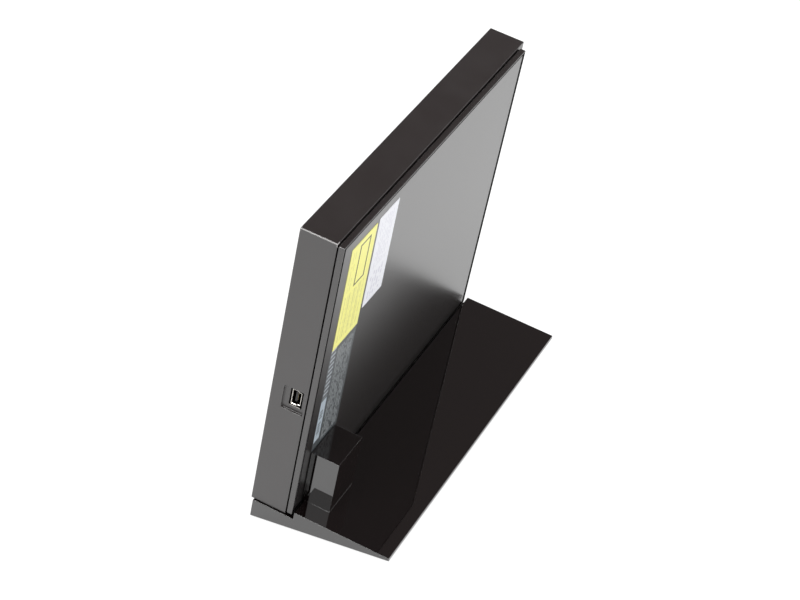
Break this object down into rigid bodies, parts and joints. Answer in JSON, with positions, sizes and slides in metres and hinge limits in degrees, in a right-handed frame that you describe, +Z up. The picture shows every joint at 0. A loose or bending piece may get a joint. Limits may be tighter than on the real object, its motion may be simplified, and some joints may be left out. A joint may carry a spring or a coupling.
{
  "type": "external disc writer",
  "caption": "Slim external disc writer with a sliding tray, leaning on edge in a low wedge-shaped desk stand with one rest post.",
  "frame": {"origin": "on the table, under the middle of the whole with the tray shut", "axes": "+Z up, +Y towards the rear end with the USB socket, -Y the way the tray opens, -X towards the stand's thin edge and the way the drive leans"},
  "size_m": [0.0649, 0.1766, 0.1529],
  "materials": {
    "stand_gloss": "piano black, polished",
    "shell_satin": "moulded ABS, fine satin grain",
    "panel_gloss": "polished black inlay",
    "frame_satin": "moulded ABS, fine satin grain",
    "plate_grain": "satin dark grey, fine grain",
    "paper_yellow": "printed film",
    "paper_white": "printed film",
    "screw_steel": "zinc plated",
    "black_screw": "blackened",
    "socket_steel": "bright tin plated",
    "black_resin": "moulded resin",
    "contact_gold": "gold flash",
    "board_green": "solder mask on glass epoxy",
    "chip_black": "moulded packages",
    "zinc_sheet": "pressed zinc plated sheet",
    "acetal_white": "natural acetal",
    "rail_steel": "stainless bar",
    "cable_film": "polyimide flat cable",
    "deck_black": "moulded, fine grain",
    "bezel_black": "semi gloss",
    "light_lens": "clear light guide",
    "rubber_black": "soft black rubber",
    "die_cast": "die cast",
    "lens_glass": "coated lens",
    "coil_copper": "wound coil"
  },
  "bodies": {
    "stand": {"stand_body": "stand_gloss", "stand_cover": "deck_black", "stand_feet": "rubber_black", "stand_screws": "black_screw", "ledge_pads": "rubber_black"},
    "drive_case": {"case_shell": "shell_satin", "top_panel": "panel_gloss", "bottom_frame": "frame_satin", "bottom_plate": "plate_grain", "label_yellow": "paper_yellow", "label_white": "paper_white", "case_screws": "screw_steel", "unit_screws": "screw_steel", "usb_shell": "socket_steel", "usb_tongue": "black_resin", "usb_contacts": "contact_gold", "bridge_board": "board_green", "board_screws": "screw_steel", "bridge_chips": "chip_black", "bridge_plug": "black_resin", "unit_chassis": "zinc_sheet", "unit_cover": "zinc_sheet", "cover_screws": "screw_steel", "rail_guide_left": "acetal_white", "rail_guide_right": "acetal_white", "catch_pin": "screw_steel", "unit_socket": "black_resin", "flex_cable": "cable_film", "cable_socket": "acetal_white", "ejector": "acetal_white", "ejector_spring": "rail_steel"},
    "tray": {"tray_deck": "deck_black", "tray_cover": "zinc_sheet", "tray_bezel": "bezel_black", "status_light": "light_lens", "eject_switch": "chip_black", "main_board": "board_green", "main_board_chips": "chip_black", "traverse_plate": "die_cast", "guide_rods": "rail_steel", "traverse_grommets": "rubber_black", "traverse_screws": "screw_steel", "sled_motor": "zinc_sheet", "spindle_motor": "zinc_sheet", "solenoid_coil": "coil_copper"},
    "rail_left": {"slide_rail_left": "rail_steel"},
    "rail_right": {"slide_rail_right": "rail_steel"},
    "button": {"eject_button": "bezel_black"},
    "hub": {"spindle_hub": "die_cast", "turntable_ring": "rubber_black"},
    "sled": {"pickup_sled": "die_cast", "sled_shield": "zinc_sheet"},
    "lens": {"lens_holder": "black_resin", "objective_lens": "lens_glass"},
    "screw": {"lead_screw": "rail_steel"},
    "latch": {"latch_lever": "acetal_white"},
    "plunger": {"solenoid_plunger": "rail_steel"},
    "claw_1": {"hub_claw_1": "acetal_white"},
    "claw_2": {"hub_claw_2": "acetal_white"},
    "claw_3": {"hub_claw_3": "acetal_white"}
  },
  "joints": [
    {"name": "drive_lift", "type": "slide", "parent": "stand", "child": "drive_case", "axis": [-0.1788, 0, 0.9839], "range_m": [0, 0.045]},
    {"name": "tray_slide", "type": "slide", "parent": "drive_case", "child": "tray", "axis": [0, -1, 0], "range_m": [0, 0.126]},
    {"name": "rail_left_slide", "type": "slide", "parent": "drive_case", "child": "rail_left", "axis": [0, -1, 0], "range_m": [0, 0.063]},
    {"name": "rail_right_slide", "type": "slide", "parent": "drive_case", "child": "rail_right", "axis": [0, -1, 0], "range_m": [0, 0.063]},
    {"name": "eject_press", "type": "slide", "parent": "tray", "child": "button", "axis": [0, 1, 0], "range_m": [0, 0.0006], "stiffness_N_per_m": 800},
    {"name": "spindle_spin", "type": "hinge", "parent": "tray", "child": "hub", "pos_m": [0.01204, -0.02305, 0.08033], "axis": [0.9839, 0, 0.1788], "continuous": true},
    {"name": "sled_travel", "type": "slide", "parent": "tray", "child": "sled", "axis": [-0.1264, -0.7071, 0.6957], "range_m": [0, 0.0335]},
    {"name": "screw_turn", "type": "hinge", "parent": "tray", "child": "screw", "pos_m": [0.00958, -0.03804, 0.06982], "axis": [-0.1264, -0.7071, 0.6957], "range_deg": [0, 4025]},
    {"name": "lens_focus", "type": "slide", "parent": "sled", "child": "lens", "axis": [0.9839, 0, 0.1788], "range_m": [-0.0004, 0.0004], "stiffness_N_per_m": 60},
    {"name": "latch_swing", "type": "hinge", "parent": "tray", "child": "latch", "pos_m": [0.01577, 0.01495, 0.03019], "axis": [0.9839, 0, 0.1788], "range_deg": [0, 14.1]},
    {"name": "plunger_pull", "type": "slide", "parent": "tray", "child": "plunger", "axis": [0.1788, 0, -0.9839], "range_m": [0, 0.00159]},
    {"name": "claw_1_spread", "type": "slide", "parent": "hub", "child": "claw_1", "axis": [0.0463, -0.9659, -0.2546], "range_m": [0, 0.0003], "stiffness_N_per_m": 100, "springref_m": 0.0003},
    {"name": "claw_2_spread", "type": "slide", "parent": "hub", "child": "claw_2", "axis": [0.1264, 0.7071, -0.6957], "range_m": [0, 0.0003], "stiffness_N_per_m": 100, "springref_m": 0.0003},
    {"name": "claw_3_spread", "type": "slide", "parent": "hub", "child": "claw_3", "axis": [-0.1727, 0.2588, 0.9504], "range_m": [0, 0.0003], "stiffness_N_per_m": 100, "springref_m": 0.0003}
  ],
  "couplings": [
    {"joint": "rail_left_slide", "follows": "tray_slide", "ratio": 0.5},
    {"joint": "rail_right_slide", "follows": "tray_slide", "ratio": 0.5},
    {"joint": "screw_turn", "follows": "sled_travel", "rad_per_m": 2094.4},
    {"joint": "latch_swing", "follows": "plunger_pull", "rad_per_m": 153.85}
  ]
}
